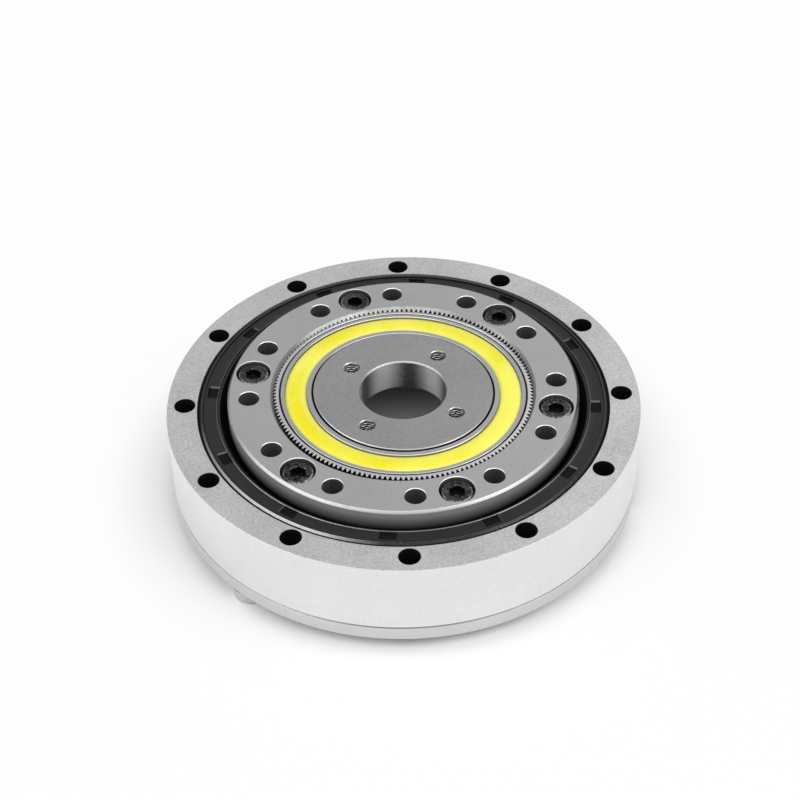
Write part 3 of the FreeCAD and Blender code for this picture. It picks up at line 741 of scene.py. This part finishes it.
# Near-black steel for slots, hidden walls and the seal seat: painted shade of the gaps between parts.
gap_shade_paint = metal("painted_gap_shade", 0.02, 0.05, 0.45, lay="wall", lay_scale=2000, lay_share=0.4)
plug_face = metal("plug_face_fine", 0.20, 0.32, 0.40, grain=2600, lay="face", lay_scale=1800)
# Painted reflection: light and dark lengthwise bands on the bore.
plug_wall = bore_with_painted_bands()
plug_thread = cut_thread()
polished = metal("bearing_polished", 0.27, 0.40, 0.30, grain=3000, lay="face", lay_scale=2400,
                 lay_share=0.4, bump=0.03)
ball_steel = metal("ball_polished", 0.50, 0.60, 0.14, grain=2000, lay_scale=800, bump=0.01)
oxide = metal("screw_black_oxide", 0.0, 0.075, 0.30, grain=2200, lay_share=0.35, bump=0.9, spread=0.09)
zinc = metal("screw_zinc_plated", (0.50, 0.51, 0.52), (0.66, 0.67, 0.68), 0.3, grain=2600, lay_share=0.4)
oxide_worn = metal("screw_rim_worn", 0.0, 0.24, 0.26, grain=2600, lay_share=0.2, bump=0.9, spread=0.07)
oxide_socket = metal("socket_black_oxide", 0.0, 0.07, 0.28, grain=2200, bump=0.6, spread=0.09)
# Much darker than the zinc heads: painted shade inside the sockets.
zinc_socket_shaded = metal("socket_zinc_painted_shade", 0.10, 0.18, 0.4, grain=2200, lay="wall", lay_scale=2000,
                    lay_share=0.4)
wire = metal("spring_wire_drawn", 0.35, 0.5, 0.3, grain=3000, lay="face", lay_scale=3000, lay_share=0.6)
rubber = moulded("seal_rubber_moulded", 0.0, 0.009, 0.27, bump=0.2, specular=0.25)
rubber_edge = metal("seal_edge_burnished", 0.12, 0.21, 0.28, metallic=0.8)
rubber_deep = moulded("seal_lip_shaded", 0.0, 0.007, 0.6, specular=0.08)
# Painted highlight: the seal's rim is bright only on its front-left stretch.
rubber_rim = rim_with_painted_highlight("seal_rim_painted_highlight", middle=225, start=27.0, end=31.8, dark=0.02, light=0.24,
                           rough=0.29, metallic=0.8)
yellow = greased_yellow()
cream = moulded("spacer_moulded", (0.60, 0.57, 0.48), (0.70, 0.67, 0.58), 0.45, grain=3000,
                cloud_scale=200, share=0.5)

outer_ring([ring_face, ring_wall, hole_wall, gap_shade_paint])
filling_plug([ring_wall, hole_wall])
oil_seal([rubber, rubber_edge, rubber_deep, rubber_rim])
circular_spline([gear_face, gear_wall, gear_hole, hole_edge, gap_shade_paint, tooth_edge, gear_edge])
flexspline([flange_wall, cup_wall, hole_wall, gap_shade_paint, rim_bright, flange_edge])
wave_plug([plug_face, plug_wall, plug_thread, gap_shade_paint, hole_edge])
race("bearing_inner_race_thin", "bearing_inner_race", 15.11, 16.21, [polished, gap_shade_paint])
race("bearing_outer_race_thin", "bearing_outer_race", 20.83, 19.90, [polished, gap_shade_paint])
bearing_balls([ball_steel])
ball_cage([yellow])
socket_screws("spline_cap_screws", "spline_screws", "output",
              [oxide, oxide_socket, oxide_worn], circle=SPLINE_CIRCLE, phase=SPLINE_TURN + 45, count=6,
              seat=SPLINE_SEAT, facing=1, length=10.05)
socket_screws("flange_cap_screws", "flange_screws", "housing",
              [zinc, zinc_socket_shaded, zinc], circle=HOUSING_CIRCLE, phase=105, count=3,
              seat=FLANGE_SEAT, facing=-1, length=9.02)

# Finishes of the nodes that keep their CAD shape.
kept_shapes = {
    "plug_pin": polished, "flange_o_ring": rubber, "seal_case": wire, "garter_spring": wire,
    "inner_ring": polished, "rollers_tilted_out": ball_steel, "rollers_tilted_in": ball_steel,
    "roller_spacers": cream,
}
for node, material in kept_shapes.items():
    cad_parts[node].material_slots[0].material = material


# Floor, light and camera

def daylight(add):
    """1 for camera, glossy and transmission rays, which see the white surroundings, and 0 for the rest."""
    path = add("ShaderNodeLightPath")
    first = math_of(add, "ADD", path.outputs["Is Camera Ray"], path.outputs["Is Glossy Ray"])
    both = {0: first, 1: path.outputs["Is Transmission Ray"]}
    return add("ShaderNodeMath", both, use_clamp=True).outputs[0]


def floor():
    """Round white floor under the screw heads, shaded near the part and plain white away from it."""
    radii = np.array([3000.0, 200.0, 60.0, 0.0])
    points, quads = skin(on_axis(radii[:, None], even(64)[None], FLOOR_HEIGHT))
    mesh = bpy.data.meshes.new("floor")
    mesh.from_pydata((points * MM).tolist(), [], quads.tolist())
    obj = bpy.data.objects.new("floor", mesh)
    bpy.context.scene.collection.objects.link(obj)
    material, shader, add, place = new_finish("floor_white")
    feed(shader, {"Base Color": colour(0.86), "Roughness": 0.8, "Specular IOR Level": 0.0})
    radius = add("ShaderNodeVectorMath", {0: place}, operation="LENGTH").outputs["Value"]
    away = ranged(add, radius, 0.040, 0.058, 0.0, 0.93, interpolation_type="SMOOTHSTEP")
    far = ranged(add, radius, 0.06, 0.30, 0.0, 0.07)
    seen = math_of(add, "MULTIPLY", daylight(add), math_of(add, "ADD", away, far))
    glow = add("ShaderNodeEmission", {"Color": colour(1.0), "Strength": 1.0})
    mix = add("ShaderNodeMixShader", {0: seen, 1: shader.outputs[0], 2: glow.outputs[0]})
    feed(material.node_tree.nodes["Material Output"], {"Surface": mix.outputs[0]})
    mesh.materials.append(material)


def surroundings():
    """White world for what is seen and mirrored, and a plain level for the light that it sheds."""
    world = bpy.data.worlds.new("studio_white")
    bpy.context.scene.world = world
    world.use_nodes = True
    add = adder(world.node_tree)
    level = ranged(add, daylight(add), 0.0, 1.0, 0.18, 1.0)
    feed(world.node_tree.nodes["Background"], {"Color": colour(1.0), "Strength": level})


def softbox(name, place, width, height, power):
    """Area lamp at a place, turned to the origin."""
    lamp = bpy.data.lights.new(name, "AREA")
    lamp.shape = "RECTANGLE"
    lamp.size = width
    lamp.size_y = height
    lamp.energy = power
    obj = bpy.data.objects.new(name, lamp)
    obj.location = place
    obj.rotation_euler = (-Vector(place)).to_track_quat("-Z", "Y").to_euler()
    bpy.context.scene.collection.objects.link(obj)


def camera():
    """Camera fitted to the photograph: 41 degrees above the face, turned so that a bolt hole lies on +X."""
    rise, roll, turn = math.radians(41.187), -0.02338987, math.radians(-0.563)
    aside, above, distance = -0.55065, -0.10430, 323.83
    right = Vector((1, 0, 0))
    ahead = Vector((0, math.cos(rise), -math.sin(rise)))
    up = Vector((0, math.sin(rise), math.cos(rise)))
    place = right * aside + up * above - ahead * distance
    side = right * math.cos(roll) + up * math.sin(roll)
    top = up * math.cos(roll) - right * math.sin(roll)
    axes = Matrix((side, top, -ahead)).transposed().to_4x4()
    lens = bpy.data.cameras.new("camera")
    lens.sensor_width = 36
    lens.lens = 86.011
    lens.clip_start = 0.01
    obj = bpy.data.objects.new("camera", lens)
    obj.matrix_world = Matrix.Rotation(turn, 4, "Z") @ Matrix.Translation(place * MM) @ axes
    bpy.context.scene.collection.objects.link(obj)
    bpy.context.scene.camera = obj


floor()
surroundings()
softbox("softbox_front", (0.02, -0.29, 0.46), 0.70, 0.28, 1.75)
softbox("softbox_left", (-0.43, -0.13, 0.25), 0.56, 0.24, 1.1)
softbox("softbox_right", (0.40, -0.16, 0.32), 0.40, 0.26, 1.15)
softbox("softbox_back_right", (0.30, 0.38, 0.50), 0.40, 0.40, 0.3)
camera()
bpy.context.scene.view_settings.view_transform = "Standard"
